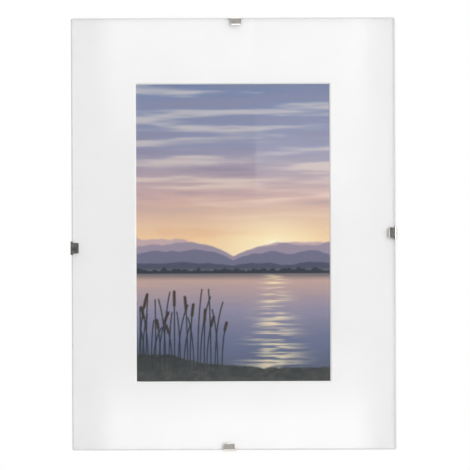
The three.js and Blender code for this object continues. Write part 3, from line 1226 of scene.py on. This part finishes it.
class CLIPFRAME_OT_hangers(bpy.types.Operator):
    """Add the two riveted ring hangers"""

    bl_idname = "clip_frame.hangers"
    bl_label = "Ring hangers"

    def execute(self, context):
        settings = context.scene.clip_frame_hangers
        zinc = plated_metal("Zinc-plated pressed steel", settings.zinc, 0.24, 0.42, 3 * MM)
        wire = plated_metal("Zinc-plated steel wire", settings.zinc, 0.18, 0.32, 3 * MM)
        brass = plated_metal("Brassed hollow rivet", settings.brass, 0.16, 0.34, 2 * MM)
        joints = {joint["child"]: joint for joint in frame["joints"]}
        for which, side in (("portrait", "top"), ("landscape", "right")):
            turn = EDGES[side][0]
            bar = Vector(joints[f"{which}_ring"]["pos_m"])
            for build, name, metal, slot, body in (
                (self.plate, "plate", zinc, "hanger_steel", "panel"),
                (self.ring, "ring", wire, "hanger_steel", f"{which}_ring"),
                (self.rivet, "rivet", brass, "rivet_brass", "panel"),
            ):
                piece = build(settings, f"{which}_{name}")
                settle(piece, (0, turn, 0), bar)
                piece.data.materials.append(metal)
                mount(piece, body, slot, f"{which}_hanger_{name}")
        return {"FINISHED"}

    def plate(self, settings, name):
        """A strip with a rounded end, its other end rolled into a knuckle round the bar."""
        knuckle = settings.wire / 2 + settings.play + settings.plate / 2
        piece = start_piece(
            name,
            bpy.ops.mesh.primitive_plane_add,
            at=(0, -knuckle, -settings.tail),
            sized=(settings.width, settings.plate, 1),
            size=1,
        )
        bpy.ops.object.mode_set(mode="EDIT")
        bpy.ops.mesh.select_all(action="SELECT")
        runs = [(settings.tail, knuckle, math.radians(-290), settings.width)]
        bend_along((-knuckle, -settings.tail), math.pi / 2, runs, settings.width)
        close_up()
        pick(
            piece,
            "EDGE",
            lambda middle, part: middle.z < -settings.tail + 0.05 * MM and abs(middle.x) > 1 * MM,
        )
        bpy.ops.mesh.bevel(offset=3.5 * MM, segments=8, affect="EDGES")
        bpy.ops.object.mode_set(mode="OBJECT")
        drill = start_piece(
            "drill",
            bpy.ops.mesh.primitive_cylinder_add,
            at=(0, -knuckle, -settings.rivet),
            turned=(math.pi / 2, 0, 0),
            radius=RIVET_HOLE,
            depth=4 * MM,
            vertices=48,
        )
        cut(piece, drill)
        soften(piece, 0.12 * MM)
        return piece

    def ring(self, settings, name):
        """A closed ring of round wire."""
        low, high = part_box("portrait_hanger_ring")
        runs, heading = runs_of(ring_corners(settings, low, high))
        piece = start_piece(
            name,
            bpy.ops.mesh.primitive_circle_add,
            turned=(heading - math.pi / 2, 0, 0),
            radius=settings.wire / 2,
            vertices=20,
        )
        bpy.ops.object.mode_set(mode="EDIT")
        bpy.ops.mesh.select_all(action="SELECT")
        bend_along((0, 0), heading, runs, 1)
        close_up()
        bpy.ops.object.mode_set(mode="OBJECT")
        settle(piece, (0, 0, -math.pi / 2), (0, 0, 0))
        shade(piece)
        return piece

    def rivet(self, settings, name):
        """A hollow rivet, rolled over on the plate and clinched inside the board."""
        air = 0.05 * MM
        knuckle = settings.wire / 2 + settings.play
        outer = -knuckle + air
        clinch = -knuckle - settings.plate - air - 2.2 * MM - air
        profile = [
            (1.3, clinch - 0.4 * MM),
            (3.0, clinch - 0.4 * MM),
            (3.2, clinch - 0.2 * MM),
            (3.0, clinch),
            (2.0, clinch),
            (2.0, outer),
            (3.4, outer),
            (3.5, outer + 0.15 * MM),
            (3.2, outer + 0.4 * MM),
            (2.6, outer + 0.5 * MM),
            (1.9, outer + 0.48 * MM),
            (1.45, outer + 0.25 * MM),
            (1.3, outer - 0.1 * MM),
            (1.3, clinch - 0.4 * MM),
        ]
        piece = start_piece(
            name,
            bpy.ops.mesh.primitive_circle_add,
            at=(0, profile[0][1], -settings.rivet),
            turned=(math.pi / 2, 0, 0),
            radius=profile[0][0] * MM,
            vertices=40,
        )
        bpy.ops.object.mode_set(mode="EDIT")
        bpy.ops.mesh.select_all(action="SELECT")
        for (radius, depth), (next_radius, next_depth) in zip(profile, profile[1:]):
            bpy.ops.mesh.extrude_region_move(
                TRANSFORM_OT_translate={"value": (0, next_depth - depth, 0)}
            )
            grow = next_radius / radius
            bpy.ops.transform.resize(
                value=(grow, 1, grow), center_override=(0, next_depth, -settings.rivet)
            )
        close_up()
        bpy.ops.object.mode_set(mode="OBJECT")
        shade(piece)
        return piece


class CLIPFRAME_OT_stage(bpy.types.Operator):
    """Add the floor, the studio light and the camera"""

    bl_idname = "clip_frame.stage"
    bl_label = "Stage"

    def execute(self, context):
        settings = context.scene.clip_frame_stage
        floor = start_piece(
            "floor",
            bpy.ops.mesh.primitive_circle_add,
            at=(MIDDLE.x, MIDDLE.y, CAD_BOX[0].z - settings.floor_drop),
            radius=12,
            vertices=64,
            fill_type="NGON",
        )
        floor.data.materials.append(matt_paint(settings.floor))
        self.lights(context)
        self.camera(context)
        return {"FINISHED"}

    def lights(self, context):
        """A tall softbox on the right, a top light, a back light and the studio's walls."""
        scene = context.scene
        scene.world = studio_walls()
        scene.view_settings.view_transform = "Standard"
        for name, place, size, power in (
            ("right softbox", (1.5, -1.5, 0.3), (1.6, 2.2), 19),
            ("top light", (0, -0.6, 2.0), (1.6, 1.0), 6),
            ("back light", (0.6, 1.8, 0.9), (1.4, 1.4), 12),
        ):
            lamp = bpy.data.lights.new(name, "AREA")
            lamp.shape = "RECTANGLE"
            lamp.size, lamp.size_y = size
            lamp.energy = power
            lamp_object = bpy.data.objects.new(name, lamp)
            scene.collection.objects.link(lamp_object)
            lamp_object.location = MIDDLE + Vector(place)
            aim = MIDDLE - lamp_object.location
            lamp_object.rotation_euler = aim.to_track_quat("-Z", "Y").to_euler()

    def camera(self, context):
        """A long lens square on to the picture."""
        view_width = 434.8 * MM
        camera = bpy.data.cameras.new("camera")
        camera.lens = 200
        away = view_width * camera.lens / camera.sensor_width
        camera_object = bpy.data.objects.new("camera", camera)
        context.scene.collection.objects.link(camera_object)
        camera_object.location = (MIDDLE.x + 1.2 * MM, FRONT - away, MIDDLE.z - 1.0 * MM)
        camera_object.rotation_euler = (math.pi / 2, math.radians(0.2), 0)
        context.scene.camera = camera_object


class CLIPFRAME_PT_panel(bpy.types.Panel):
    """The pieces of the frame, with the sizes and colours that each one has"""

    bl_idname = "CLIPFRAME_PT_panel"
    bl_label = "Clip picture frame"
    bl_space_type = "VIEW_3D"
    bl_region_type = "UI"
    bl_category = "Clip frame"

    def draw(self, context):
        for operator, group in STEPS:
            column = self.layout.column(align=True)
            column.operator(operator.bl_idname)
            settings = getattr(context.scene, group)
            for name in settings.__annotations__:
                column.prop(settings, name)


SETTINGS = {
    "clip_frame_glass": GlassSettings,
    "clip_frame_mat": MatSettings,
    "clip_frame_print": PrintSettings,
    "clip_frame_board": BoardSettings,
    "clip_frame_clips": ClipSettings,
    "clip_frame_hangers": HangerSettings,
    "clip_frame_stage": StageSettings,
}
STEPS = (
    (CLIPFRAME_OT_glass, "clip_frame_glass"),
    (CLIPFRAME_OT_mat, "clip_frame_mat"),
    (CLIPFRAME_OT_print, "clip_frame_print"),
    (CLIPFRAME_OT_board, "clip_frame_board"),
    (CLIPFRAME_OT_clips, "clip_frame_clips"),
    (CLIPFRAME_OT_hangers, "clip_frame_hangers"),
    (CLIPFRAME_OT_stage, "clip_frame_stage"),
)
CLASSES = (*SETTINGS.values(), *(operator for operator, _ in STEPS), CLIPFRAME_PT_panel)


def register():
    for cls in CLASSES:
        bpy.utils.register_class(cls)
    for group, cls in SETTINGS.items():
        setattr(bpy.types.Scene, group, bpy.props.PointerProperty(type=cls))


def unregister():
    for group in SETTINGS:
        delattr(bpy.types.Scene, group)
    for cls in reversed(CLASSES):
        bpy.utils.unregister_class(cls)


def main():
    register()
    bpy.ops.clip_frame.stage()
    bpy.ops.clip_frame.glass()
    bpy.ops.clip_frame.mat()
    bpy.ops.clip_frame.print()
    bpy.ops.clip_frame.board()
    bpy.ops.clip_frame.clips()
    bpy.ops.clip_frame.hangers()


if __name__ == "__main__":
    main()
